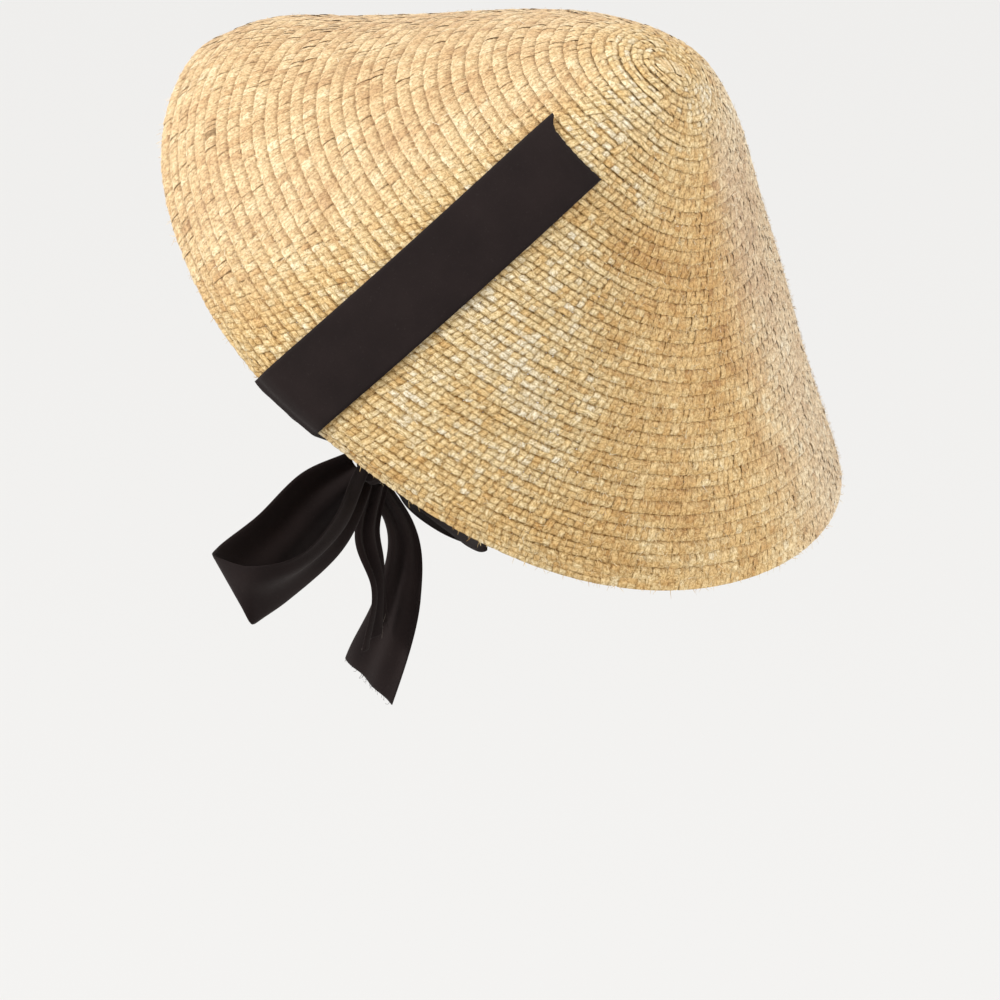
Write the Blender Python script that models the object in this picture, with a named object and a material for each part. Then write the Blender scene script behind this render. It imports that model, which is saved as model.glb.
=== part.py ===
"""Wide-brim straw hat tied with ribbons: one named object for each piece, in metres, +Z up.

The hat has the form that it has on a head. +X is the wearer's left and -Y is the way that the face looks. The
origin is where the inside of the crown sits on the top of the head.
"""

import math

import bpy
import numpy as np

CLEAR = 0.0003  # gap between pieces that touch

# Straw shell: reach is measured square to the crown's axis, and depth from the tip down along it.
LEAN = math.radians(35)  # the axis leans back from upright
TIP_BACK = 0.074  # the tip lies this far behind the top of the head
FRONT_REACH = 0.195
FRONT_DEPTH = 0.158
SIDE_REACH = 0.152
SIDE_DEPTH = 0.185
BACK_REACH = 0.189
BACK_DEPTH = 0.145
STRAW_WALL = 0.0022
FRONT_DROOP = 0.018  # how far the front corners of the brim hang
FRONT_PULL = 7  # the higher, the nearer to the ribbons the rim starts to be pulled down
BACK_PULL = 2.2
FRONT_CORNER = -0.22  # share by which the rim is fuller than an ellipse between front and side, slimmer below 0
BACK_CORNER = 0.47  # the same between side and back

# Ribbons
RIBBON_WIDTH = 0.038
RIBBON_THICK = 0.001

# Bow
KNOT_FORWARD = 0.087  # the knot's middle lies this far before the top of the head
KNOT_DROP = 0.235
KNOT_WIDE = 0.020
KNOT_DEEP = 0.018
KNOT_TALL = 0.024
STRAP_GATHER = 0.36  # share of a ribbon's width that is left where it is gathered into the knot
LOOP_LENGTH = 0.106
TAIL_LEFT_LENGTH = 0.092
TAIL_RIGHT_LENGTH = 0.123
TAIL_GAP = 0.002  # between the middles of the two tails where they leave the knot
TAIL_TURN = -50  # how both tails face there, in degrees from back to left

# Facets
SHELL_RINGS = 26
SHELL_SPOKES = 64
RIBBON_FACETS = 4  # across a ribbon
SEWN_ROWS = 20
WRAP_ROWS = 4
STRAP_ROWS = 10
LOOP_ROWS = 40
TAIL_ROWS = 16
KNOT_RINGS = 10
KNOT_SPOKES = 20

STRAW = {"colour": (0.60, 0.43, 0.22), "roughness": 0.62}
RIBBON = {"colour": (0.021, 0.016, 0.014), "roughness": 0.72}

# Each row is one ring of the shell, from the tip to the rim. along is its share of the way down the surface, and
# the rest are shares of the reach, depth and droop of the same name. side_fore moves the ring's sides to the
# front, as a share of the front reach.
SECTION_COLUMNS = (
    "along", "front_out", "front_down", "side_out", "side_fore", "side_down", "back_out", "back_down", "front_droop",
)
SECTIONS = (
    (0.00, 0.000, 0.000, 0.000, 0.000, 0.000, 0.000, 0.000, 0.00),
    (0.12, 0.140, 0.020, 0.230, 0.000, 0.032, 0.140, 0.083, 0.00),
    (0.25, 0.297, 0.130, 0.460, 0.002, 0.135, 0.290, 0.252, 0.00),
    (0.40, 0.472, 0.320, 0.673, 0.010, 0.317, 0.450, 0.445, 0.00),
    (0.55, 0.632, 0.517, 0.845, 0.027, 0.518, 0.610, 0.610, 0.10),
    (0.70, 0.784, 0.691, 0.964, 0.056, 0.740, 0.756, 0.762, 0.35),
    (0.85, 0.923, 0.840, 1.025, 0.086, 0.930, 0.904, 0.894, 0.70),
    (1.00, 1.000, 1.000, 1.000, 0.100, 1.000, 1.000, 1.000, 1.00),
)

# Each ribbon: side is 1 on the wearer's left. start is how far down from the tip its sewn end lies, as a share of
# the way to the rim, and swing how far that end lies behind the one at the rim, as a share of the ribbon's width.
RIBBONS = {
    "ribbon_left": {"side": 1, "start": 0.268, "swing": 0.03},
    "ribbon_right": {"side": -1, "start": 0.320, "swing": -0.05},
}

# A loop of the bow, from the knot along its outer band, round its end and back along the band nearer the throat.
# out is a share of the loop's length. across and bulge are shares of the ribbon's width, towards the lower edge and
# towards the throat. width is how much of the ribbon is spread open, and tilt turns its upper edge towards the
# throat, in degrees.
LOOP_COLUMNS = ("along", "out", "across", "bulge", "width", "tilt")
LOOP = (
    (0.00, 0.00, -0.08, -0.03, 0.48, 0),
    (0.12, 0.26, -0.11, -0.22, 0.80, 4),
    (0.26, 0.62, -0.02, -0.24, 0.90, 4),
    (0.40, 0.92, 0.00, -0.12, 1.00, 0),
    (0.46, 1.00, 0.02, 0.01, 1.00, 6),
    (0.53, 0.95, 0.15, 0.16, 0.98, 34),
    (0.64, 0.76, 0.33, 0.31, 0.92, 56),
    (0.81, 0.40, 0.38, 0.34, 0.72, 60),
    (1.00, 0.00, 0.06, 0.03, 0.32, 30),
)
# Where each loop points from the knot, and the way that its lower edge faces: shares of X, Y and Z.
LOOP_AIMS = {
    "bow_loop_left": {"run": (0.92, -0.27, -0.39), "lower": (0.02, 0.61, -0.80)},
    "bow_loop_right": {"run": (-0.84, 0.10, -0.52), "lower": (0.36, 0.45, -0.82)},
}

# A hanging tail, from the knot to its cut end. left, back and down are shares of its length, width is how much of
# the ribbon is spread open, turn is how far it has turned since the knot, in degrees from back to left, and slant
# sends that edge down, as a share of half the ribbon's width.
TAIL_COLUMNS = ("along", "left", "back", "down", "width", "turn", "slant")
TAIL_LEFT = (
    (0.00, 0.00, 0.00, 0.00, 0.34, 0, 0.00),
    (0.30, 0.09, -0.02, 0.30, 0.36, -4, 0.00),
    (0.60, 0.07, 0.04, 0.60, 0.50, -48, 0.00),
    (1.00, 0.06, 0.01, 1.00, 0.62, -35, -0.22),
)
TAIL_RIGHT = (
    (0.00, 0.00, 0.00, 0.00, 0.34, 0, 0.00),
    (0.20, -0.085, 0.07, 0.20, 0.37, 6, 0.00),
    (0.60, -0.09, 0.06, 0.57, 0.62, 36, 0.00),
    (1.00, -0.06, -0.08, 1.00, 0.95, 70, 0.38),
)


def spline(table, places):
    """The table's columns read at each place along its first column, on a smooth curve through every row."""
    rows = np.array(table, float)
    knots = rows[:, 0]
    slopes = np.gradient(rows, knots, axis=0)
    places = np.asarray(places, float)
    index = np.clip(np.searchsorted(knots, places, side="right") - 1, 0, len(knots) - 2)
    span = (knots[index + 1] - knots[index])[..., None]
    share = (places[..., None] - knots[index][..., None]) / span
    return (
        rows[index] * (1 + 2 * share) * (1 - share) ** 2
        + rows[index + 1] * share**2 * (3 - 2 * share)
        + span * slopes[index] * share * (1 - share) ** 2
        - span * slopes[index + 1] * share**2 * (1 - share)
    )


def unit(vectors):
    return vectors / np.linalg.norm(vectors, axis=-1, keepdims=True)


def mirrored_sections():
    """The sections with a copy of the first rings beyond the tip, so that the tip comes out round."""
    signs = np.array([-1 if name == "along" or name.endswith("out") else 1 for name in SECTION_COLUMNS])
    rows = np.array(SECTIONS)
    return np.concatenate([rows[2:0:-1] * signs, rows])


def points_from_tip(along, around):
    """Points of the outer surface from its tip. around is the angle from the front to the wearer's left."""
    along, around = np.broadcast_arrays(np.asarray(along, float), np.asarray(around, float))
    ring = dict(zip(SECTION_COLUMNS, np.moveaxis(spline(mirrored_sections(), along), -1, 0)))
    fore = np.cos(around)
    in_front = fore > 0
    front, back = ring["front_out"] * FRONT_REACH, -ring["back_out"] * BACK_REACH
    side = ring["side_fore"] * FRONT_REACH
    front_down, back_down = ring["front_down"] * FRONT_DEPTH, ring["back_down"] * BACK_DEPTH
    level = (front_down + back_down) / 2
    pull = np.abs(np.sin(around)) ** np.where(in_front, FRONT_PULL, BACK_PULL)
    droop = FRONT_DROOP * ring["front_droop"] * np.where(in_front, np.sin(2 * around) ** 2, 0)
    corner = np.where(in_front, FRONT_CORNER, BACK_CORNER) * ring["along"] ** 2 * fore**2
    out = side + (front - back) / 2 * fore + ((front + back) / 2 - side) * fore**2
    down = level + (front_down - back_down) / 2 * fore + (ring["side_down"] * SIDE_DEPTH - level) * pull + droop
    across = ring["side_out"] * SIDE_REACH * np.sin(around) * (1 + corner)
    y = -out * math.cos(LEAN) - down * math.sin(LEAN)
    z = out * math.sin(LEAN) - down * math.cos(LEAN)
    return np.stack([across, y, z], axis=-1)


def seat():
    """Where the tip lies, so that the inside of the crown rests on the top of the head."""
    line = points_from_tip(np.linspace(0.02, 0.6, 400), 0.0)[:, 1:]
    steps = unit(np.gradient(line, axis=0))
    inside = line + STRAW_WALL * np.stack([-steps[:, 1], steps[:, 0]], axis=1)
    height = np.interp(TIP_BACK, -inside[:, 0], inside[:, 1])
    return np.array([0.0, TIP_BACK, -height])


SEAT = seat()


def shell_point(along, around):
    """Points of the shell's outer surface."""
    return points_from_tip(along, around) + SEAT


def shell_normal(along, around):
    """Outward directions of the shell's outer surface."""
    step = 1e-4
    along = np.clip(along, step, 1.0)
    down = shell_point(along, around) - shell_point(along - step, around)
    round_it = shell_point(along, around + step) - shell_point(along, around - step)
    return unit(np.cross(down, round_it))


def material(name, look):
    made = bpy.data.materials.new(name)
    made.use_nodes = True
    shader = made.node_tree.nodes["Principled BSDF"]
    shader.inputs["Base Color"].default_value = (*look["colour"], 1)
    shader.inputs["Roughness"].default_value = look["roughness"]
    shader.inputs["Metallic"].default_value = 0
    return made


def add_object(name, points, faces, look):
    mesh = bpy.data.meshes.new(name)
    mesh.from_pydata([tuple(point) for point in points], [], faces)
    mesh.validate()
    mesh.shade_smooth()
    mesh.set_sharp_from_angle(angle=math.radians(50))
    mesh.materials.append(look)
    made = bpy.data.objects.new(name, mesh)
    bpy.context.scene.collection.objects.link(made)
    return made


def closed_round(name, grid, look):
    """A body from rings that close on themselves, whose first and last rings are each a point."""
    rings, spokes = grid.shape[:2]
    points = [grid[0, 0], *grid[1:-1].reshape(-1, 3), grid[-1, 0]]

    def index(ring, spoke):
        return 1 + (ring - 1) * spokes + spoke % spokes

    faces = []
    for spoke in range(spokes):
        faces.append((0, index(1, spoke), index(1, spoke + 1)))
        for ring in range(1, rings - 2):
            faces.append(
                (index(ring, spoke), index(ring + 1, spoke), index(ring + 1, spoke + 1), index(ring, spoke + 1))
            )
        faces.append((len(points) - 1, index(rings - 2, spoke + 1), index(rings - 2, spoke)))
    return add_object(name, points, faces, look)


def closed_strip(name, outer, inner, look):
    """A body between two open grids of the same size, walled in along their edges."""
    rows, columns = outer.shape[:2]
    points = [*outer.reshape(-1, 3), *inner.reshape(-1, 3)]

    def index(row, column, side):
        return side * rows * columns + row * columns + column

    faces = []
    for row in range(rows - 1):
        for column in range(columns - 1):
            here = [index(row, column, 0), index(row + 1, column, 0), index(row + 1, column + 1, 0)]
            faces.append((*here, index(row, column + 1, 0)))
            there = [index(row, column, 1), index(row, column + 1, 1), index(row + 1, column + 1, 1)]
            faces.append((*there, index(row + 1, column, 1)))
    edge = [(0, column) for column in range(columns)]
    edge += [(row, columns - 1) for row in range(1, rows)]
    edge += [(rows - 1, column) for column in range(columns - 2, -1, -1)]
    edge += [(row, 0) for row in range(rows - 2, 0, -1)]
    for first, second in zip(edge, edge[1:] + edge[:1]):
        faces.append((index(*first, 0), index(*second, 0), index(*second, 1), index(*first, 1)))
    return add_object(name, points, faces, look)


def build_shell(look):
    """The crown and brim: down the outside, round the rim's edge and up the inside."""
    along = (np.arange(SHELL_RINGS + 1) / SHELL_RINGS)[:, None]
    around = (np.arange(SHELL_SPOKES) * 2 * math.pi / SHELL_SPOKES)[None, :]
    outer = shell_point(along, around)
    normals = shell_normal(along, around)
    inner = outer - STRAW_WALL * normals
    edge = outer[-1:] - STRAW_WALL / 2 * normals[-1:]
    edge = edge + STRAW_WALL / 2 * unit(outer[-1:] - outer[-2:-1])
    return closed_round("straw_shell", np.concatenate([outer, edge, inner[::-1]]), look)


def offset_strip(name, middle, look):
    """A ribbon's body about the grid that lies in the middle of it."""
    down = np.gradient(middle, axis=0)
    across = np.gradient(middle, axis=1)
    normals = unit(np.cross(down, across))
    half = RIBBON_THICK / 2 * normals
    return closed_strip(name, middle + half, middle - half, look)


def knot_centre():
    return np.array([0.0, -KNOT_FORWARD, -KNOT_DROP])


def knot_half():
    return np.array([KNOT_WIDE, KNOT_DEEP, KNOT_TALL]) / 2


def clear_of_knot(direction):
    """How far from the knot's middle a flat end must lie, square to this direction."""
    return float(np.linalg.norm(knot_half() * direction)) + CLEAR


def build_ribbon(name, look):
    """One ribbon: sewn down the outside, bent round the rim's edge and run down to the knot."""
    side, start, swing = (RIBBONS[name][column] for column in ("side", "start", "swing"))
    places = np.linspace(-1, 1, RIBBON_FACETS + 1) * RIBBON_WIDTH / 2
    lateral = side * math.pi / 2
    lift = CLEAR + RIBBON_THICK / 2

    along = np.linspace(start, 1, SEWN_ROWS)
    step = 1e-3
    spread = np.linalg.norm(shell_point(along, lateral + step) - shell_point(along, lateral), axis=-1) / step
    back = side * swing * RIBBON_WIDTH * (1 - along) / (1 - start)
    around = lateral + (places[None, :] + back[:, None]) / spread[:, None]
    along = np.broadcast_to(along[:, None], around.shape)
    sewn = shell_point(along, around) + lift * shell_normal(along, around)

    rim, normal = shell_point(1.0, around[-1]), shell_normal(1.0, around[-1])
    tangent = unit(rim - shell_point(0.99, around[-1]))
    core = rim - STRAW_WALL / 2 * normal
    mid = len(core) // 2
    run = unit(knot_centre() - core[mid])
    bend = math.atan2(-(run @ normal[mid]), run @ tangent[mid])
    angles = np.linspace(0, bend, WRAP_ROWS + 1)[1:, None, None]
    wrap = core + (STRAW_WALL / 2 + lift) * (np.cos(angles) * normal + np.sin(angles) * tangent)

    from_knot = unit(wrap[-1, mid] - knot_centre())
    end = knot_centre() + clear_of_knot(from_knot) * from_knot
    fore_and_aft = unit(np.cross(np.cross(from_knot, np.array([0.0, side, 0.0])), from_knot))
    gathered = end + STRAP_GATHER * places[:, None] * fore_and_aft
    share = np.linspace(0, 1, STRAP_ROWS + 1)[1:, None, None]
    strap = (1 - share) * wrap[-1] + share * gathered
    return offset_strip(name, np.concatenate([sewn, wrap, strap]), look)


def build_loop(name, look):
    aim = LOOP_AIMS[name]
    run = unit(np.array(aim["run"]))
    lower = unit(np.array(aim["lower"]))
    inward = unit(np.cross(run, lower))
    inward *= np.sign(inward[1])
    rows = spline(LOOP, np.linspace(0, 1, LOOP_ROWS))
    row = dict(zip(LOOP_COLUMNS, rows.T[:, :, None]))
    tilt = np.radians(row["tilt"])
    first = clear_of_knot(run)
    centre = (
        knot_centre()
        + (first + row["out"] * (LOOP_LENGTH - first)) * run
        + row["across"] * RIBBON_WIDTH * lower
        + row["bulge"] * RIBBON_WIDTH * inward
    )
    edge = row["width"] * RIBBON_WIDTH / 2 * (np.cos(tilt) * lower - np.sin(tilt) * inward)
    places = np.linspace(-1, 1, RIBBON_FACETS + 1)[None, :, None]
    return offset_strip(name, centre[:, None] + places * edge[:, None], look)


def build_tail(name, table, length, side, look):
    rows = spline(table, np.linspace(0, 1, TAIL_ROWS))
    row = dict(zip(TAIL_COLUMNS, rows.T))
    first = np.radians(TAIL_TURN)
    apart = side * TAIL_GAP / 2 * np.array([math.cos(first), -math.sin(first), 0.0])
    down = clear_of_knot(np.array([0.0, 0.0, 1.0]))
    start = knot_centre() + apart - np.array([0.0, 0.0, down])
    hang = length - down
    centre = start + hang * np.stack([row["left"], row["back"], -row["down"]], axis=1)
    turn = np.radians(TAIL_TURN + row["turn"])
    level = np.stack([np.sin(turn), np.cos(turn), np.zeros_like(turn)], axis=1)
    upright = np.array([0.0, 0.0, 1.0])
    edge = RIBBON_WIDTH / 2 * (row["width"][:, None] * level - row["slant"][:, None] * upright)
    places = np.linspace(-1, 1, RIBBON_FACETS + 1)[None, :, None]
    return offset_strip(name, centre[:, None] + places * edge[:, None], look)


def build_knot(look):
    polar = np.linspace(0, math.pi, KNOT_RINGS + 1)[:, None]
    around = (np.arange(KNOT_SPOKES) * 2 * math.pi / KNOT_SPOKES)[None, :]
    sphere = np.stack(
        [np.sin(polar) * np.cos(around), np.sin(polar) * np.sin(around), np.cos(polar) * np.ones_like(around)],
        axis=-1,
    )
    return closed_round("bow_knot", knot_centre() + sphere * knot_half(), look)


def main():
    for old in list(bpy.data.objects):
        bpy.data.objects.remove(old)
    straw = material("straw_braid", STRAW)
    ribbon = material("black_ribbon", RIBBON)
    build_shell(straw)
    build_ribbon("ribbon_left", ribbon)
    build_ribbon("ribbon_right", ribbon)
    build_knot(ribbon)
    build_loop("bow_loop_left", ribbon)
    build_loop("bow_loop_right", ribbon)
    build_tail("bow_tail_left", TAIL_LEFT, TAIL_LEFT_LENGTH, 1, ribbon)
    build_tail("bow_tail_right", TAIL_RIGHT, TAIL_RIGHT_LENGTH, -1, ribbon)


main()
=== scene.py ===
"""Wide-brim straw hat tied with ribbons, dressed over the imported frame.

The shell is a real spiral of plaited straw: every flattened straw of the plait is its own narrow strip that
goes over and under the straws that it crosses. The ribbons and the bow are creased sheets of black cloth.
"""

import math

import bpy
import numpy as np
from mathutils import Matrix, Vector


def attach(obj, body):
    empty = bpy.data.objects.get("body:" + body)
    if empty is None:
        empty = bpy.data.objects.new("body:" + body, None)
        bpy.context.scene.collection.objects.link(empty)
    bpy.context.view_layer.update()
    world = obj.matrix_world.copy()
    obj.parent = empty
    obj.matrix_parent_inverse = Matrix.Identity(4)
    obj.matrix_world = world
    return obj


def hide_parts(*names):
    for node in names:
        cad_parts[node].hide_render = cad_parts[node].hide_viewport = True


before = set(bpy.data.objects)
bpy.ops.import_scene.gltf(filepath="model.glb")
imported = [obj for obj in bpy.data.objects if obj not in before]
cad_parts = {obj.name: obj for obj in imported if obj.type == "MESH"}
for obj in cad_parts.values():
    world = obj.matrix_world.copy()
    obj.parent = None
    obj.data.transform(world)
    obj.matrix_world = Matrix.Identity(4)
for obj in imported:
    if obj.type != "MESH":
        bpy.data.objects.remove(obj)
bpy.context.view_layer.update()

# The same sizes and tables as in the part's source
CLEAR = 0.0003
LEAN = math.radians(35)
TIP_BACK = 0.074
FRONT_REACH = 0.195
FRONT_DEPTH = 0.158
SIDE_REACH = 0.152
SIDE_DEPTH = 0.185
BACK_REACH = 0.189
BACK_DEPTH = 0.145
STRAW_WALL = 0.0022
FRONT_DROOP = 0.018
FRONT_PULL = 7
BACK_PULL = 2.2
FRONT_CORNER = -0.22
BACK_CORNER = 0.47
RIBBON_WIDTH = 0.038
RIBBON_THICK = 0.001
KNOT_FORWARD = 0.087
KNOT_DROP = 0.235
KNOT_WIDE = 0.020
KNOT_DEEP = 0.018
KNOT_TALL = 0.024
STRAP_GATHER = 0.36
LOOP_LENGTH = 0.106
TAIL_LEFT_LENGTH = 0.092
TAIL_RIGHT_LENGTH = 0.123
TAIL_GAP = 0.002
TAIL_TURN = -50

SECTION_COLUMNS = (
    "along", "front_out", "front_down", "side_out", "side_fore", "side_down",
    "back_out", "back_down", "front_droop",
)
SECTIONS = (
    (0.00, 0.000, 0.000, 0.000, 0.000, 0.000, 0.000, 0.000, 0.00),
    (0.12, 0.140, 0.020, 0.230, 0.000, 0.032, 0.140, 0.083, 0.00),
    (0.25, 0.297, 0.130, 0.460, 0.002, 0.135, 0.290, 0.252, 0.00),
    (0.40, 0.472, 0.320, 0.673, 0.010, 0.317, 0.450, 0.445, 0.00),
    (0.55, 0.632, 0.517, 0.845, 0.027, 0.518, 0.610, 0.610, 0.10),
    (0.70, 0.784, 0.691, 0.964, 0.056, 0.740, 0.756, 0.762, 0.35),
    (0.85, 0.923, 0.840, 1.025, 0.086, 0.930, 0.904, 0.894, 0.70),
    (1.00, 1.000, 1.000, 1.000, 0.100, 1.000, 1.000, 1.000, 1.00),
)
RIBBONS = {
    "ribbon_left": {"side": 1, "start": 0.268, "swing": 0.03},
    "ribbon_right": {"side": -1, "start": 0.320, "swing": -0.05},
}
LOOP_COLUMNS = ("along", "out", "across", "bulge", "width", "tilt")
LOOP = (
    (0.00, 0.00, -0.08, -0.03, 0.48, 0),
    (0.12, 0.26, -0.11, -0.22, 0.80, 4),
    (0.26, 0.62, -0.02, -0.24, 0.90, 4),
    (0.40, 0.92, 0.00, -0.12, 1.00, 0),
    (0.46, 1.00, 0.02, 0.01, 1.00, 6),
    (0.53, 0.95, 0.15, 0.16, 0.98, 34),
    (0.64, 0.76, 0.33, 0.31, 0.92, 56),
    (0.81, 0.40, 0.38, 0.34, 0.72, 60),
    (1.00, 0.00, 0.06, 0.03, 0.32, 30),
)
LOOP_AIMS = {
    "bow_loop_left": {"run": (0.92, -0.27, -0.39), "lower": (0.02, 0.61, -0.80)},
    "bow_loop_right": {"run": (-0.84, 0.10, -0.52), "lower": (0.36, 0.45, -0.82)},
}
TAIL_COLUMNS = ("along", "left", "back", "down", "width", "turn", "slant")
TAIL_LEFT = (
    (0.00, 0.00, 0.00, 0.00, 0.34, 0, 0.00),
    (0.30, 0.09, -0.02, 0.30, 0.36, -4, 0.00),
    (0.60, 0.07, 0.04, 0.60, 0.50, -48, 0.00),
    (1.00, 0.06, 0.01, 1.00, 0.62, -35, -0.22),
)
TAIL_RIGHT = (
    (0.00, 0.00, 0.00, 0.00, 0.34, 0, 0.00),
    (0.20, -0.085, 0.07, 0.20, 0.37, 6, 0.00),
    (0.60, -0.09, 0.06, 0.57, 0.62, 36, 0.00),
    (1.00, -0.06, -0.08, 1.00, 0.95, 70, 0.38),
)

LOOP_SAG = 0.16  # how far a loop's near band sags from its upper edge, as a share of the ribbon's width
END_PEAK = 0.0042  # how far the front corner of a ribbon's sewn end is pulled out
CLOTH_THICK = 0.75 * RIBBON_THICK  # thinner than the solid, so that folds and relief stay within it
EDGE_THICK = 0.35  # share of the thickness that is left at a ribbon's edge
THREAD_STEPS = 9

WHITE = (1.0, 1.0, 1.0)
CAMERA_AT = (1.8955, 0.9903, 0.5632)
CAMERA_AZIMUTH = 118
CAMERA_PITCH = 20.6
CAMERA_LENS = 169.2
FLOOR_DROP = 0.9  # from the part's origin down to the floor
FLOOR_HALF = 6
# Each light: where it stands, what it is aimed at, its size, its power and its colour
LIGHTS = {
    "key_light": ((1.3, -1.5, 1.7), (0.0, 0.0, -0.1), 0.8, 58.0, (1.0, 0.99, 0.975)),
    "fill_light": ((1.8, 1.6, 0.9), (0.0, 0.0, -0.15), 1.8, 6.0, WHITE),
    "edge_light": ((-1.0, 2.1, 0.9), (0.0, 0.0, -0.1), 0.9, 26.0, (0.97, 0.98, 1.0)),
}

# Woven braid: lengthwise straws run along each row, and crosswise straws go over and under them
ROW_PITCH = 0.0064  # from one row to the next at the front
BRAID_WIDTH = 0.0090
LENGTHWISE = 3  # straws side by side along a row
CROSS_PITCH = 0.0038  # from one crosswise straw to the next
SIDE_SLANT = -0.34  # how far a crosswise straw leans along the row for its way across
FRONT_SLANT = 0.45
CROSS_STEPS = 12
LENGTH_STEPS = 3  # for each crosswise straw
FLOATS = 0.04  # share of the crossings that go the wrong way, so that a straw skips one
SWING = 0.00036  # how far a straw rises and falls as it goes over and under
CROWN = 0.00030  # how far a straw's middle stands above its edges
SHINGLE = 0.00085  # how far a row's lower edge rises over the row below
ROUND = 0.00090  # how far a row's middle stands above its edges
BRAID_DEPTH = 0.0017  # from the shell's outer surface to the middle of the braid
STRAW_PIECES = 4
GROOVE = BRAID_WIDTH - ROW_PITCH  # from a row's upper edge to where the row above ends on it
STRAW_LENGTH = 0.28
SPREAD = 0.13  # how much one straw's tone differs from the next
TIP_WOBBLE = 0.0020  # how far the first rows at the tip are squeezed out of round
TIP_STRAWS = 9
TIP_STRAW_PITCH = 0.0019
TIP_REACH = 0.0046  # from the tip to the ends of the longest straw over it
TIP_STEPS = 13
FIRST_ROW = 0.0032  # how far from the tip the spiral starts
STEPS_AROUND = 1440  # in one turn of the spiral
STRAW_SIDES = np.array([-1.0, 0.0, 1.0])  # a straw's edges and its middle
PITCH_SPREAD = 0.22  # how much the crosswise straws' pitches differ
LEAN_SPREAD = 0.09  # how much their leans differ
STRAW_JITTER = 0.00010  # how much higher or lower one straw lies than the next
GROOVE_JITTER = 0.00035  # how ragged the shade in a groove is
LOOSE_FIBRES = 15000
FIBRE_STEPS = 4
FIBRE_LENGTH = (0.0016, 0.0042)
FIBRE_HALF_WIDTH = (0.00009, 0.00020)

# Patches where the straw is made paler or deeper, partly the straw's own uneven tone and partly painted light
# and shade: degrees from the front to the wearer's left, share of the way to the rim, size, and how much paler
# than the rest
TONE_AND_LIGHT_PATCHES = (
    (112, 0.66, 0.050, 0.22),
    (62, 0.76, 0.030, 0.06),
    (78, 0.62, 0.026, 0.08),
    (168, 0.42, 0.050, -0.24),
    (95, 0.20, 0.040, 0.14),
    (145, 0.76, 0.040, -0.08),
)


def spline(table, places):
    rows = np.array(table, float)
    knots = rows[:, 0]
    slopes = np.gradient(rows, knots, axis=0)
    places = np.asarray(places, float)
    index = np.clip(np.searchsorted(knots, places, side="right") - 1, 0, len(knots) - 2)
    span = (knots[index + 1] - knots[index])[..., None]
    share = (places[..., None] - knots[index][..., None]) / span
    return (
        rows[index] * (1 + 2 * share) * (1 - share) ** 2
        + rows[index + 1] * share**2 * (3 - 2 * share)
        + span * slopes[index] * share * (1 - share) ** 2
        - span * slopes[index + 1] * share**2 * (1 - share)
    )


def unit(vectors):
    return vectors / np.maximum(np.linalg.norm(vectors, axis=-1, keepdims=True), 1e-12)


def travelled(line):
    """How far along the line each of its points lies."""
    return np.concatenate([[0.0], np.cumsum(np.linalg.norm(np.diff(line, axis=0), axis=1))])


def grid_normals(middle):
    return unit(np.cross(unit(np.gradient(middle, axis=0)), unit(np.gradient(middle, axis=1))))


def mirrored_sections():
    signs = np.array([-1 if name == "along" or name.endswith("out") else 1 for name in SECTION_COLUMNS])
    rows = np.array(SECTIONS)
    return np.concatenate([rows[2:0:-1] * signs, rows])


def points_from_tip(along, around):
    along, around = np.broadcast_arrays(np.asarray(along, float), np.asarray(around, float))
    ring = dict(zip(SECTION_COLUMNS, np.moveaxis(spline(mirrored_sections(), along), -1, 0)))
    fore = np.cos(around)
    in_front = fore > 0
    front, back = ring["front_out"] * FRONT_REACH, -ring["back_out"] * BACK_REACH
    side = ring["side_fore"] * FRONT_REACH
    front_down, back_down = ring["front_down"] * FRONT_DEPTH, ring["back_down"] * BACK_DEPTH
    level = (front_down + back_down) / 2
    pull = np.abs(np.sin(around)) ** np.where(in_front, FRONT_PULL, BACK_PULL)
    droop = FRONT_DROOP * ring["front_droop"] * np.where(in_front, np.sin(2 * around) ** 2, 0)
    corner = np.where(in_front, FRONT_CORNER, BACK_CORNER) * ring["along"] ** 2 * fore**2
    out = side + (front - back) / 2 * fore + ((front + back) / 2 - side) * fore**2
    down = level + (front_down - back_down) / 2 * fore + (ring["side_down"] * SIDE_DEPTH - level) * pull + droop
    across = ring["side_out"] * SIDE_REACH * np.sin(around) * (1 + corner)
    y = -out * math.cos(LEAN) - down * math.sin(LEAN)
    z = out * math.sin(LEAN) - down * math.cos(LEAN)
    return np.stack([across, y, z], axis=-1)


def seat():
    line = points_from_tip(np.linspace(0.02, 0.6, 400), 0.0)[:, 1:]
    steps = unit(np.gradient(line, axis=0))
    inside = line + STRAW_WALL * np.stack([-steps[:, 1], steps[:, 0]], axis=1)
    height = np.interp(TIP_BACK, -inside[:, 0], inside[:, 1])
    return np.array([0.0, TIP_BACK, -height])


SEAT = seat()


def shell_point(along, around):
    return points_from_tip(along, around) + SEAT


def shell_normal(along, around):
    step = 1e-4
    along = np.clip(along, step, 1.0)
    down = shell_point(along, around) - shell_point(along - step, around)
    round_it = shell_point(along, around + step) - shell_point(along, around - step)
    return unit(np.cross(down, round_it))


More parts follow.
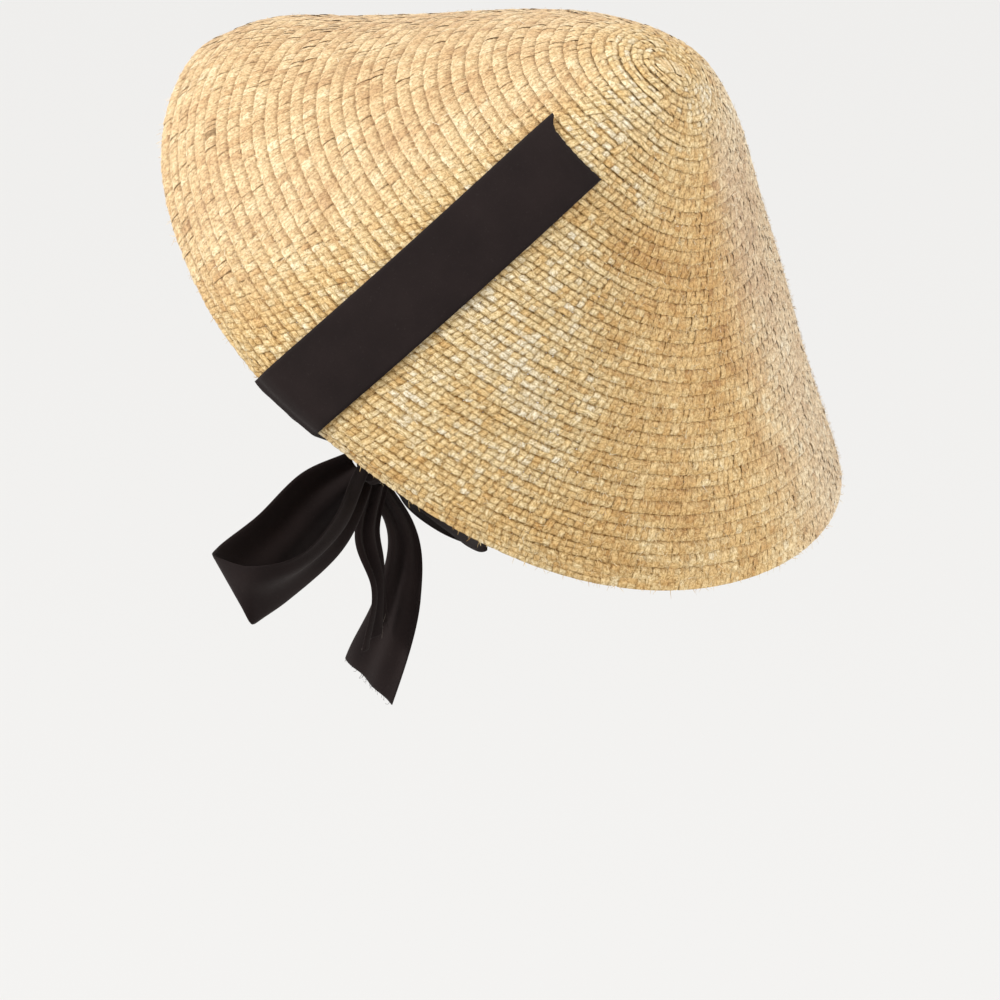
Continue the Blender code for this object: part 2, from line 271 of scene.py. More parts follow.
class EvenShell:
    """The shell's outer surface read by share of the distance from tip to rim, so that rows come out even."""

    def __init__(self, downs=320, rounds=STEPS_AROUND):
        around = np.arange(rounds + 1) * 2 * math.pi / rounds
        along = np.linspace(0, 1, 600)
        fine = shell_point(along[:, None], around[None, :])
        steps = np.linalg.norm(np.diff(fine, axis=0), axis=-1)
        length = np.concatenate([np.zeros((1, rounds + 1)), np.cumsum(steps, axis=0)])
        self.meridian = length[-1]
        shares = np.linspace(0, 1, downs + 1)
        even = np.stack(
            [np.interp(shares, length[:, i] / length[-1, i], along) for i in range(rounds + 1)], axis=1
        )
        self.points = shell_point(even, around[None, :])
        self.normals = shell_normal(even, around[None, :])
        self.normals[0] = unit(self.normals[1].mean(axis=0))
        self.downs, self.rounds = downs, rounds

    def read(self, grid, share, around):
        row = np.clip(share, 0, 1) * self.downs
        column = np.mod(around / (2 * math.pi), 1) * self.rounds
        i = np.minimum(row.astype(int), self.downs - 1)
        j = np.minimum(column.astype(int), self.rounds - 1)
        a, b = (row - i)[..., None], (column - j)[..., None]
        return (
            grid[i, j] * (1 - a) * (1 - b)
            + grid[i + 1, j] * a * (1 - b)
            + grid[i, j + 1] * (1 - a) * b
            + grid[i + 1, j + 1] * a * b
        )

    def length(self, around):
        column = np.mod(around / (2 * math.pi), 1) * self.rounds
        return np.interp(column, np.arange(self.rounds + 1), self.meridian)

    def place(self, share, around, height):
        """Points at this height over the surface. A share below 0 has crossed the tip."""
        around = np.where(share < 0, around + math.pi, around)
        share = np.abs(share)
        normals = unit(self.read(self.normals, share, around))
        return self.read(self.points, share, around) + height[..., None] * normals


def add_mesh(name, points, quads, look, attributes=(), uv=None):
    """A smooth mesh from arrays: each attribute is (name, a number for each point), and uv a pair for each."""
    mesh = bpy.data.meshes.new(name)
    mesh.vertices.add(len(points))
    mesh.vertices.foreach_set("co", np.ascontiguousarray(points, np.float32).ravel())
    mesh.loops.add(quads.size)
    mesh.loops.foreach_set("vertex_index", np.ascontiguousarray(quads, np.int32).ravel())
    mesh.polygons.add(len(quads))
    mesh.polygons.foreach_set("loop_start", np.arange(0, quads.size, 4, dtype=np.int32))
    mesh.polygons.foreach_set("loop_total", np.full(len(quads), 4, np.int32))
    mesh.polygons.foreach_set("use_smooth", np.ones(len(quads), bool))
    for label, values in attributes:
        layer = mesh.attributes.new(label, "FLOAT", "POINT")
        layer.data.foreach_set("value", np.ascontiguousarray(values, np.float32).ravel())
    if uv is not None:
        layer = mesh.uv_layers.new(name="UVMap")
        layer.data.foreach_set("uv", np.ascontiguousarray(uv[quads.ravel()], np.float32).ravel())
    mesh.update(calc_edges=True)
    mesh.validate()
    mesh.materials.append(look)
    made = bpy.data.objects.new(name, mesh)
    bpy.context.scene.collection.objects.link(made)
    return made


def grid_quads(rows, columns, count=1):
    i, j = np.meshgrid(np.arange(rows - 1), np.arange(columns - 1), indexing="ij")
    corner = (i * columns + j).ravel()
    one = np.stack([corner, corner + columns, corner + columns + 1, corner + 1], axis=1)
    return (one[None] + (np.arange(count) * rows * columns)[:, None, None]).reshape(-1, 4)


class Tree:
    """Short calls for making a material's nodes."""

    def __init__(self, name):
        self.material = bpy.data.materials.new(name)
        self.material.use_nodes = True
        self.nodes = self.material.node_tree.nodes
        self.links = self.material.node_tree.links
        self.shader = self.nodes["Principled BSDF"]

    def add(self, kind, **settings):
        node = self.nodes.new(kind)
        for key, value in settings.items():
            setattr(node, key, value)
        return node

    def feed(self, socket, value):
        if isinstance(value, bpy.types.NodeSocket):
            self.links.new(value, socket)
        else:
            socket.default_value = value

    def attribute(self, name):
        return self.add("ShaderNodeAttribute", attribute_name=name).outputs["Fac"]

    def maths(self, operation, first, second=0.0):
        node = self.add("ShaderNodeMath", operation=operation)
        self.feed(node.inputs[0], first)
        self.feed(node.inputs[1], second)
        return node.outputs[0]

    def mix(self, kind, share, first, second):
        node = self.add("ShaderNodeMix", data_type="RGBA", blend_type=kind)
        self.feed(node.inputs["Factor"], share)
        self.feed(node.inputs["A"], first)
        self.feed(node.inputs["B"], second)
        return node.outputs["Result"]

    def ramp(self, value, *stops):
        node = self.add("ShaderNodeValToRGB")
        elements = node.color_ramp.elements
        for index, (place, colour) in enumerate(stops):
            element = elements[index] if index < 2 else elements.new(place)
            element.position = place
            element.color = (*colour, 1)
        self.feed(node.inputs["Fac"], value)
        return node.outputs["Color"]

    def noise(self, vector, scale, detail=2.0, rough=0.5):
        node = self.add("ShaderNodeTexNoise")
        self.feed(node.inputs["Vector"], vector)
        node.inputs["Scale"].default_value = scale
        node.inputs["Detail"].default_value = detail
        node.inputs["Roughness"].default_value = rough
        return node.outputs["Fac"]

    def stretch(self, vector, scale):
        node = self.add("ShaderNodeMapping")
        self.feed(node.inputs["Vector"], vector)
        node.inputs["Scale"].default_value = scale
        return node.outputs["Vector"]

    def bump(self, height, distance, strength=1.0, normal=None):
        node = self.add("ShaderNodeBump")
        node.inputs["Strength"].default_value = strength
        node.inputs["Distance"].default_value = distance
        self.feed(node.inputs["Height"], height)
        if normal is not None:
            self.feed(node.inputs["Normal"], normal)
        return node.outputs["Normal"]


def straw_look():
    """Dry straw: each straw has its own tone, fibres run along it, and painted shade darkens it where it dips
    under, in the grooves and beside the ribbons, while a painted rim light pales it at the back right.
    """
    made = Tree("straw_braid")
    tone, painted_shade_value, pale, edge = (made.attribute(name) for name in ("tone", "shade", "pale", "edge"))
    straw = made.add("ShaderNodeUVMap", uv_map="UVMap").outputs["UV"]
    place = made.add("ShaderNodeTexCoord").outputs["Object"]
    clouds = made.noise(place, 38.0, 3.0, 0.6)
    tone = made.maths("ADD", tone, made.maths("MULTIPLY", made.maths("SUBTRACT", clouds, 0.5), 0.75))
    base = made.ramp(
        tone,
        (0.00, (0.50, 0.285, 0.110)),
        (0.22, (0.67, 0.425, 0.180)),
        (0.48, (0.81, 0.590, 0.300)),
        (0.74, (0.90, 0.745, 0.465)),
        (1.00, (0.92, 0.850, 0.690)),
    )
    fibres = made.noise(made.stretch(straw, (0.09, 0.80, 1.0)), 6.0, 3.0, 0.6)
    # The painted shade from the shade attribute, made ragged along the fibres
    ragged = made.maths("SUBTRACT", 1.75, made.maths("MULTIPLY", fibres, 1.5))
    shade = made.maths("SUBTRACT", 1.0, made.maths("MULTIPLY", made.maths("SUBTRACT", 1.0, painted_shade_value), ragged))
    specks = made.noise(place, 820.0, 3.0, 0.65)
    fibre_tint = made.ramp(fibres, (0.36, (0.64, 0.56, 0.42)), (0.55, WHITE))
    speck_tint = made.ramp(specks, (0.34, (0.62, 0.54, 0.42)), (0.55, WHITE))
    # Where the painted shade is deep, the colour turns dark olive-brown
    painted_shade_tint = made.ramp(shade, (0.15, (0.44, 0.33, 0.15)), (0.9, WHITE))
    colour = made.mix("MULTIPLY", 1.0, base, fibre_tint)
    colour = made.mix("MULTIPLY", 0.9, colour, speck_tint)
    colour = made.mix("MULTIPLY", 1.0, colour, painted_shade_tint)
    joint = made.maths("POWER", made.maths("ABSOLUTE", edge), 5.0)
    colour = made.mix("MULTIPLY", joint, colour, (0.42, 0.32, 0.17, 1))
    # Less saturated where the pale attribute is high, partly painted rim light
    pale_and_rim_light = made.add("ShaderNodeHueSaturation")
    made.feed(pale_and_rim_light.inputs["Saturation"], made.maths("SUBTRACT", 1.06, made.maths("MULTIPLY", pale, 0.34)))
    made.feed(pale_and_rim_light.inputs["Color"], colour)
    made.feed(made.shader.inputs["Base Color"], pale_and_rim_light.outputs["Color"])
    rough = made.maths("ADD", made.maths("MULTIPLY", fibres, 0.22), 0.46)
    made.feed(made.shader.inputs["Roughness"], rough)
    made.shader.inputs["Specular IOR Level"].default_value = 0.38
    made.shader.inputs["Sheen Weight"].default_value = 0.08
    made.shader.inputs["Sheen Roughness"].default_value = 0.5
    normal = made.bump(specks, 0.00035, 0.45)
    made.feed(made.shader.inputs["Normal"], made.bump(fibres, 0.00032, 0.45, normal))
    return made.material


def ribbon_look():
    """Matte black ribbon: a fine plain weave, with a little lint and wear."""
    made = Tree("black_ribbon")
    cloth = made.add("ShaderNodeUVMap", uv_map="UVMap").outputs["UV"]
    place = made.add("ShaderNodeTexCoord").outputs["Object"]
    across = made.add("ShaderNodeTexWave", wave_type="BANDS", bands_direction="X")
    along = made.add("ShaderNodeTexWave", wave_type="BANDS", bands_direction="Y")
    for wave in (across, along):
        made.feed(wave.inputs["Vector"], cloth)
        wave.inputs["Scale"].default_value = 0.62
        wave.inputs["Distortion"].default_value = 0.4
    weave = made.maths("MAXIMUM", across.outputs["Fac"], made.maths("MULTIPLY", along.outputs["Fac"], 0.8))
    lint = made.noise(place, 900.0, 4.0, 0.7)
    soft = made.noise(place, 45.0, 3.0, 0.5)
    base = made.ramp(soft, (0.35, (0.0105, 0.0056, 0.0054)), (0.70, (0.0150, 0.0086, 0.0082)))
    fluff = made.ramp(lint, (0.60, (0.0, 0.0, 0.0)), (0.78, (0.35, 0.35, 0.35)))
    weave_tint = made.ramp(weave, (0.1, (0.55, 0.55, 0.55)), (0.8, WHITE))
    colour = made.mix("MIX", fluff, base, (0.060, 0.050, 0.043, 1))
    colour = made.mix("MULTIPLY", 0.5, colour, weave_tint)
    colour = made.mix("MIX", made.attribute("pale"), colour, (0.30, 0.26, 0.22, 1))
    made.feed(made.shader.inputs["Base Color"], colour)
    made.shader.inputs["Roughness"].default_value = 0.85
    made.shader.inputs["Specular IOR Level"].default_value = 0.18
    made.shader.inputs["Sheen Weight"].default_value = 0.05
    made.shader.inputs["Sheen Roughness"].default_value = 0.45
    made.shader.inputs["Sheen Tint"].default_value = (1.0, 0.93, 0.88, 1)
    normal = made.bump(weave, 0.00016, 0.5)
    made.feed(made.shader.inputs["Normal"], made.bump(soft, 0.0010, 0.35, normal))
    return made.material


def ease(share):
    return (1 - np.cos(math.pi * share)) / 2


def smooth(values, low, high):
    share = np.clip((values - low) / (high - low), 0, 1)
    return share * share * (3 - 2 * share)


def braid_height(across, deep):
    """How high a row's middle surface lies at this distance from its centre line."""
    share = across / (BRAID_WIDTH / 2)
    return (0.4 + 0.6 * deep) * (SHINGLE * share + ROUND * (0.4 - share**2)) - BRAID_DEPTH


def painted_groove_shade(across, deep):
    """Painted shade: darker where the row above ends on this one and shades it, and paler where the straw
    stands out.
    """
    off = across + BRAID_WIDTH / 2 - GROOVE
    wide = 0.0017 - 0.0008 * deep
    return 1 - (0.16 + 0.36 * deep) * np.exp(-((off / wide) ** 2)) - 0.10 * np.clip(1 - off / 0.0045, 0, 1)


def painted_straw_shade(t, level, woven):
    """Painted shade: darker towards a straw's edges and where it dips under another."""
    return (1 - (0.08 + 0.12 * woven) * np.abs(t)) * (1 - (0.10 + 0.34 * woven) * (0.5 - 0.5 * level))


def joint_edge(t, woven):
    """A point's place from one edge of its straw (-1) to the other (1), less where the weave hardly shows."""
    return t * (0.74 + 0.26 * woven)


def painted_lip_highlight(across):
    """A painted highlight: paler along the lower edge of a row, where its lip stands out to the light."""
    return 0.12 * np.exp(-(((across - BRAID_WIDTH / 2 + 0.0005) / 0.0005) ** 2))


def straw_here(around, share):
    """How far the weave shows, the depth of the grooves, the tone and how pale the straw is, from place to
    place; the tone patches are partly painted light and shade, and the pale zone at the back right is painted
    rim light.
    """
    fore = np.cos(around)
    front, back = smooth(fore, 0.10, 0.55), smooth(-fore, 0.60, 0.95)
    off_tip = smooth(share, 0.02, 0.25)
    front, back = front * off_tip, back * off_tip
    woven = 1 - 0.85 * front - 0.5 * back
    deep = 0.85 + 0.35 * back - 0.20 * front + 0.3 * (1 - off_tip)
    tone = 0.60 - 0.22 * front - 0.01 * fore - 0.06 * share * (1 - fore) / 2 - 0.08 * back
    turn = np.degrees(np.mod(around, 2 * math.pi))
    # Tone patches, partly painted light and shade
    for centre, down, size, paler in TONE_AND_LIGHT_PATCHES:
        off = np.hypot(np.radians(np.mod(turn - centre + 180, 360) - 180) * 0.17 * share, 0.25 * (share - down))
        tone = tone + paler * np.exp(-((off / size) ** 2))
    # Paler and greyer at the front, and at the back right a painted rim light
    pale = 0.45 * front + 0.8 * off_tip * smooth(turn, 168, 196) * smooth(-turn, -300, -250)
    return woven, deep, tone, pale


def ribbon_edges():
    lines = []
    for look in RIBBONS.values():
        middle, _, sewn = ribbon_middle(look["side"], look["start"], look["swing"])
        lines += [middle[:sewn, 0], middle[:sewn, -1], middle[0]]
    return np.concatenate(lines)


def shadow_beside(points, edges):
    """Darker close beside a ribbon."""
    flat = points.reshape(-1, 3)
    shade = np.ones(len(flat))
    beside = np.flatnonzero(np.abs(flat[:, 0]) > np.abs(edges[:, 0]).min() - 0.004)
    short_edges = edges.astype(np.float32)
    for chunk in np.array_split(beside, max(1, len(beside) // 4000)):
        away = flat[chunk, None].astype(np.float32) - short_edges[None]
        near = np.linalg.norm(away, axis=-1).min(axis=1)
        shade[chunk] = 1 - 0.5 * np.exp(-((near / 0.0017) ** 2))
    return shade


def tip_straws(shell, rng):
    """The folded end of the braid: short flattened straws side by side over the tip."""
    places = (np.arange(TIP_STRAWS) - (TIP_STRAWS - 1) / 2) * TIP_STRAW_PITCH
    places = places + rng.normal(0, 0.00015, TIP_STRAWS)
    reach = TIP_REACH * np.sqrt(np.clip(1 - (places / 0.012) ** 2, 0.1, 1)) * rng.uniform(0.85, 1.1, TIP_STRAWS)
    t = STRAW_SIDES
    y = np.linspace(-1, 1, TIP_STEPS)[None, :, None] * reach[:, None, None] + 0 * t
    x = places[:, None, None] - 0.25 * y + 0.00105 * t
    distance = np.hypot(x, y)
    around = np.arctan2(y, x) + 0.9
    uneven = rng.normal(0, STRAW_JITTER, TIP_STRAWS)[:, None, None]
    height = 0.00022 * (1 - t**2) - 0.0005 - 0.0009 * (distance / 0.008) ** 2 + uneven
    points = shell.place(distance / shell.length(around), around, height)
    tone = np.broadcast_to(0.6 + SPREAD * rng.normal(0, 1, TIP_STRAWS)[:, None, None], x.shape)
    uv = np.stack([y * 1000, 0.5 * t + 1.7 * np.arange(TIP_STRAWS)[:, None, None] + 0 * y], axis=-1)
    return points.reshape(-1, 3), tone.ravel(), uv.reshape(-1, 2)


def build_braid(shell, look):
    """The spiral of woven straw braid, from the tip to the rim, in a few meshes."""
    rng = np.random.default_rng(11)
    front = float(shell.length(np.array(0.0)))
    rise = ROW_PITCH / front
    first, last = FIRST_ROW / front, 1 - BRAID_WIDTH / 2 / front
    turns = (last - first) / rise + 1
    theta = np.linspace(0, turns * 2 * math.pi, int(turns * STEPS_AROUND))
    centre = np.minimum(first + rise * theta / (2 * math.pi), last)
    centre = centre + TIP_WOBBLE / front * np.sin(2 * theta + 0.6) * np.exp(-theta / (4.4 * math.pi))
    line = shell.place(centre, theta, np.full(theta.shape, -BRAID_DEPTH))
    travel = travelled(line)
    edges = ribbon_edges()

    def on_braid(s, across, height):
        around = np.interp(s, travel, theta)
        share = np.interp(s, travel, centre) + across / shell.length(around)
        return shell.place(np.minimum(share, 1.0), around, height)

    half = BRAID_WIDTH / 2
    count = int((travel[-1] - BRAID_WIDTH) / CROSS_PITCH)
    pitches = CROSS_PITCH * np.exp(rng.normal(0, PITCH_SPREAD, count))
    stations = half + np.cumsum(pitches) * (travel[-1] - BRAID_WIDTH) / pitches.sum()
    gaps = np.diff(stations)
    before_it, after_it = np.append(gaps[0], gaps), np.append(gaps, gaps[-1])
    over = np.where((np.arange(count)[:, None] + np.arange(LENGTHWISE)[None, :]) % 2 == 0, 1.0, -1.0)
    over = over * np.where(rng.uniform(0, 1, over.shape) < FLOATS, -1.0, 1.0)
    lanes = (np.arange(LENGTHWISE) - (LENGTHWISE - 1) / 2) * BRAID_WIDTH / LENGTHWISE
    around = np.interp(stations, travel, theta)
    woven, deep, tone, pale = straw_here(around, np.interp(stations, travel, centre))
    lean = SIDE_SLANT + (FRONT_SLANT - SIDE_SLANT) * smooth(np.cos(around), 0.15, 0.55)
    cell = rng.normal(0, 1, (count, LENGTHWISE)) * (0.3 + 0.7 * woven[:, None])
    t = STRAW_SIDES

    u = np.linspace(-half, half, CROSS_STEPS + 1)
    knots = np.concatenate([[-half], lanes, [half]])
    index = np.clip(np.searchsorted(knots, u, side="right") - 1, 0, len(knots) - 2)
    share = ease((u - knots[index]) / (knots[index + 1] - knots[index]))
    ends = np.zeros((count, 1))
    levels = np.concatenate([ends, woven[:, None] * over + 0.75 * (1 - woven[:, None]), ends], axis=1)
    level = levels[:, index] * (1 - share) + levels[:, index + 1] * share
    width = rng.uniform(0.92, 1.06, count) * (1.24 - 0.24 * woven)
    slant = lean + rng.normal(0, LEAN_SPREAD, count) * woven
    half_width = np.where(t < 0, before_it[:, None], after_it[:, None]) * width[:, None] / 2
    s = stations[:, None, None] + slant[:, None, None] * u[:, None] + (t * half_width)[:, None]
    reach = 1 + 0.05 * rng.normal(0, 1, count)[:, None, None] - 0.06 * t**2
    across = u[:, None] * reach
    depth = deep[:, None, None]
    height = (
        SWING * rng.uniform(0.6, 1.4, count)[:, None, None] * level[:, :, None]
        + CROWN * (0.35 + 0.65 * woven[:, None, None]) * (1 - t**2)
        + braid_height(across, depth)
        + rng.normal(0, STRAW_JITTER, count)[:, None, None]
        + rng.normal(0, STRAW_JITTER, count)[:, None, None] * t
    )
    cross_points = on_braid(s, across, height)
    lane_of = np.abs(u[:, None] - lanes).argmin(axis=1)
    cross_tone = tone[:, None] + SPREAD * (0.6 * rng.normal(0, 1, count)[:, None] + 0.7 * cell[:, lane_of])
    cross_tone = cross_tone[:, :, None] + painted_lip_highlight(across)
    # Painted shade of the crosswise straws: their own, the grooves' (ragged from straw to straw) and the
    # ribbons' shadow
    serrated = across + rng.normal(0, GROOVE_JITTER, count)[:, None, None]
    cross_shade = painted_straw_shade(t, level[:, :, None], woven[:, None, None]) * painted_groove_shade(serrated, depth)
    cross_shade = cross_shade * shadow_beside(cross_points, edges).reshape(cross_shade.shape)
    cross_uv = np.stack(
        np.broadcast_arrays(
            (u[:, None] + half) * 1000 + 31.0 * rng.uniform(0, 60, count)[:, None, None],
            t * 0.5 + 1.7 * np.arange(count)[:, None, None],
        ),
        axis=-1,
    )

    blocks = int(travel[-1] / STRAW_LENGTH) + 3
    made = []
    per_piece = -(-count // STRAW_PIECES)
    long_wander = rng.normal(0, 1, (LENGTHWISE, count))
    long_tone = rng.normal(0, 1, (LENGTHWISE, blocks))
    long_start = rng.uniform(0, STRAW_LENGTH, LENGTHWISE)
    for piece in range(STRAW_PIECES):
        low, high = piece * per_piece, min((piece + 1) * per_piece + 1, count)
        part = slice(low, high)
        cross_count = high - low
        points = [cross_points[part].reshape(-1, 3)]
        tones = [cross_tone[part].ravel()]
        shades = [cross_shade[part].ravel()]
        pales = [np.broadcast_to(pale[part, None, None], cross_shade[part].shape).ravel()]
        sides = [np.broadcast_to(joint_edge(t, woven[part, None, None]), cross_shade[part].shape).ravel()]
        uvs = [cross_uv[part].reshape(-1, 2)]
        quads = [grid_quads(CROSS_STEPS + 1, 3, cross_count)]
        filled = len(points[0])
        steps = np.arange((cross_count - 1) * LENGTH_STEPS + 1) / LENGTH_STEPS + low
        before = np.minimum(steps.astype(int), high - 2)
        share = steps - before
        nearest = np.minimum((steps + 0.5).astype(int), count - 1)
        depth = deep[before][:, None]
        for lane in range(LENGTHWISE):
            weave = over[before, lane] + (over[before + 1, lane] - over[before, lane]) * ease(share)
            level = -woven[before] * weave - 0.9 * (1 - woven[before])
            onward = share * (stations[before + 1] - stations[before])
            s = stations[before] + onward + lean[before] * lanes[lane]
            wander = long_wander[lane, before] * (1 - share) + long_wander[lane, before + 1] * share
            width = BRAID_WIDTH / LENGTHWISE * (0.98 + 0.06 * wander)
            across = lanes[lane] + 0.00022 * wander[:, None] + t * width[:, None] / 2
            height = SWING * level[:, None] + CROWN * (1 - t**2) + braid_height(across, depth)
            s = np.broadcast_to(s[:, None], across.shape)
            points.append(on_braid(s, across, height).reshape(-1, 3))
            block = ((s + long_start[lane]) / STRAW_LENGTH).astype(int)
            tones.append(
                (
                    tone[before][:, None]
                    + SPREAD * (0.5 * long_tone[lane, block] + 0.8 * cell[nearest, lane][:, None])
                    + painted_lip_highlight(across)
                ).ravel()
            )
            # Painted shade of the lengthwise straws, with the grooves' and the ribbons' shadow
            own_shade = painted_straw_shade(t, level[:, None], woven[before][:, None])
            shades.append((own_shade * painted_groove_shade(across, depth)).ravel() * shadow_beside(points[-1], edges))
            pales.append(np.broadcast_to(pale[before][:, None], across.shape).ravel())
            sides.append(joint_edge(t, woven[before][:, None]).ravel())
            straw_uv = np.stack(np.broadcast_arrays(s * 1000, t * 0.5 + 1.7 * lane + 3.1 * block), axis=-1)
            uvs.append(straw_uv.reshape(-1, 2))
            quads.append(grid_quads(len(steps), 3) + filled)
            filled += len(steps) * 3
        if piece == 0:
            button, tone_there, uv_there = tip_straws(shell, rng)
            points.append(button)
            tones.append(tone_there)
            # The tip straws get an even, slight painted shade
            shades.append(np.full(len(button), 0.85))
            pales.append(np.full(len(button), 0.3))
            sides.append(np.tile(t, len(button) // 3))
            uvs.append(uv_there)
            quads.append(grid_quads(TIP_STEPS, 3, TIP_STRAWS) + filled)
        obj = add_mesh(
            f"straw_braid_{piece + 1}",
            np.concatenate(points),
            np.concatenate(quads),
            look,
            attributes=(
                ("tone", np.concatenate(tones)),
                ("shade", np.concatenate(shades)),
                ("pale", np.concatenate(pales)),
                ("edge", np.concatenate(sides)),
            ),
            uv=np.concatenate(uvs),
        )
        made.append(obj)
    return made


def build_fibres(shell, look):
    """Loose ends of straw that stand a little off the surface, most of them at the back and along the rim."""
    rng = np.random.default_rng(23)
    around = rng.uniform(0, 2 * math.pi, 4 * LOOSE_FIBRES)
    share = np.sqrt(rng.uniform(0.001, 1.0, len(around)))
    fore = np.cos(around)
    chance = 0.10 + 0.90 * smooth(-fore, 0.2, 0.95) + 0.3 * (share > 0.975)
    kept = np.flatnonzero(rng.uniform(0, 1, len(around)) < chance)[:LOOSE_FIBRES]
    around, share = around[kept], share[kept]
    count = len(kept)
    start = shell.place(share, around, rng.uniform(-0.0012, -0.0002, count))
    normal = unit(shell.read(shell.normals, share, around))
    below = shell.place(np.minimum(share + 0.004, 1.0), around, np.zeros(count))
    down = unit(below - shell.place(share - 0.004, around, np.zeros(count)))
    along_row = unit(np.cross(normal, down))
    angle = rng.normal(0, 0.8, count)
    sense = rng.choice([-1, 1], count)[:, None]
    run = np.cos(angle)[:, None] * down * sense + np.sin(angle)[:, None] * along_row
    aside = np.cross(normal, run)
    length = rng.uniform(*FIBRE_LENGTH, count)
    lift = rng.uniform(0.0002, 0.0018, count) * (0.4 + 0.6 * smooth(-fore[kept], 0.5, 1.0))
    curl = rng.normal(0, 0.0005, count)
    wide = rng.uniform(*FIBRE_HALF_WIDTH, count)
    k = np.linspace(0, 1, FIBRE_STEPS)[None, :, None]
    middle = start[:, None] + length[:, None, None] * k * run[:, None]
    middle = middle + (lift[:, None, None] * k**1.4) * normal[:, None]
    middle = middle + curl[:, None, None] * k**2 * aside[:, None]
    half = wide[:, None, None] * (1 - 0.7 * k) * aside[:, None]
    points = np.stack([middle - half, middle + half], axis=2).reshape(-1, 3)
    tone = np.repeat(0.62 + 0.16 * rng.normal(0, 1, count), 2 * FIBRE_STEPS)
    pale = np.repeat(straw_here(around, share)[3], 2 * FIBRE_STEPS)
    start_of_uv = np.repeat(rng.uniform(0, 900, count), 2 * FIBRE_STEPS)
    uv = np.stack([start_of_uv, np.tile([0.0, 0.2], FIBRE_STEPS * count)], axis=-1)
    shade = np.repeat(rng.uniform(0.45, 1.0, count), 2 * FIBRE_STEPS)
    return add_mesh(
        "straw_fibres",
        points,
        grid_quads(FIBRE_STEPS, 2, count),
        look,
        attributes=(("tone", tone), ("shade", shade), ("pale", pale)),
        uv=uv,
    )


def knot_centre():
    return np.array([0.0, -KNOT_FORWARD, -KNOT_DROP])


def knot_half():
    return np.array([KNOT_WIDE, KNOT_DEEP, KNOT_TALL]) / 2


def clear_of_knot(direction):
    return float(np.linalg.norm(knot_half() * direction)) + CLEAR


def pleats(middle, width, folds, limit):
    """Moves the grid square to itself, so that a ribbon gathered to this share of its width lies in folds."""
    places = np.linspace(-0.5, 0.5, middle.shape[1])[None, :]
    share = np.clip(np.asarray(width, float), 0.2, 1.0)[:, None]
    depth = share * RIBBON_WIDTH / (2 * math.pi * folds) * np.sqrt(4 * (1 / share - 1))
    wave = np.sin(2 * math.pi * folds * places)
    return middle + (limit * depth * wave)[..., None] * grid_normals(middle)


def cloth_strip(name, middle, look, threads=None):
    """A ribbon's body about the grid in the middle of it, with rounded edges and any loose threads."""
    rows, columns = middle.shape[:2]
    edge = np.ones(columns)
    edge[[0, -1]] = EDGE_THICK
    half = CLOTH_THICK / 2 * edge[None, :, None] * grid_normals(middle)
    outer, inner = middle + half, middle - half
    points = np.concatenate([outer.reshape(-1, 3), inner.reshape(-1, 3)])
    top = grid_quads(rows, columns)
    bottom = top[:, ::-1] + rows * columns
    rim = [(0, c) for c in range(columns)] + [(r, columns - 1) for r in range(1, rows)]
    rim += [(rows - 1, c) for c in range(columns - 2, -1, -1)] + [(r, 0) for r in range(rows - 2, 0, -1)]
    loop = np.array([r * columns + c for r, c in rim])
    after = np.roll(loop, -1)
    wall = np.stack([loop, after, after + rows * columns, loop + rows * columns], axis=1)
    length = travelled(middle[:, columns // 2])
    places = np.linspace(0, RIBBON_WIDTH, columns)
    uv = np.stack(np.broadcast_arrays(places[None, :] * 1000, length[:, None] * 1000), axis=-1).reshape(-1, 2)
    quads, uv, pale = np.concatenate([top, bottom, wall]), np.concatenate([uv, uv]), np.zeros(len(points))
    if threads is not None:
        loose, pale_there = threads
        quads = np.concatenate([quads, grid_quads(THREAD_STEPS, 2, len(loose)) + len(points)])
        points = np.concatenate([points, loose.reshape(-1, 3)])
        uv = np.concatenate([uv, np.zeros((loose[..., 0].size, 2))])
        pale = np.concatenate([pale, np.repeat(pale_there, 2 * THREAD_STEPS)])
    made = add_mesh(name, points, quads, look, attributes=(("pale", pale),), uv=uv)
    return made, float(length[-1])


def frayed(middle, count, pale_count, seed):
    """Loose threads along a ribbon's cut end, a few of them pale and lying on its face."""
    rng = np.random.default_rng(seed)
    down = unit(middle[-1] - middle[-4])
    across = unit(np.gradient(middle[-1], axis=0))
    face = unit(np.cross(down, across))
    k = np.linspace(0, 1, THREAD_STEPS)[:, None]
    threads, pale = [], []
    for index in range(count + pale_count):
        place = rng.integers(0, middle.shape[1])
        light = index >= count
        if light:
            reach = rng.uniform(0.004, 0.010)
            row = -1 - int(rng.integers(2, 9))
            start = middle[row, place] + 0.0006 * face[place] * (1 if index % 2 else -1)
        else:
            reach = rng.uniform(0.0008, 0.0030)
            start = middle[-1, place]
        aside = rng.uniform(-1.2, 1.2)
        fall = rng.uniform(-0.4, 0.6) if light else 1.0
        run = unit(aside * across[place] + fall * down[place])
        bow = rng.normal(0, 0.25) * reach * np.sin(math.pi * k) * np.cross(face[place], run)
        line = start + reach * k * run + bow + 0.0007 * k * face[place] * rng.normal(0, 1)
        half = (0.00014 if light else 0.00009) * unit(np.cross(face[place], run))
        threads.append(np.stack([line - half, line + half], axis=1))
        pale.append(1.0 if light else 0.0)
    return np.array(threads), np.array(pale)


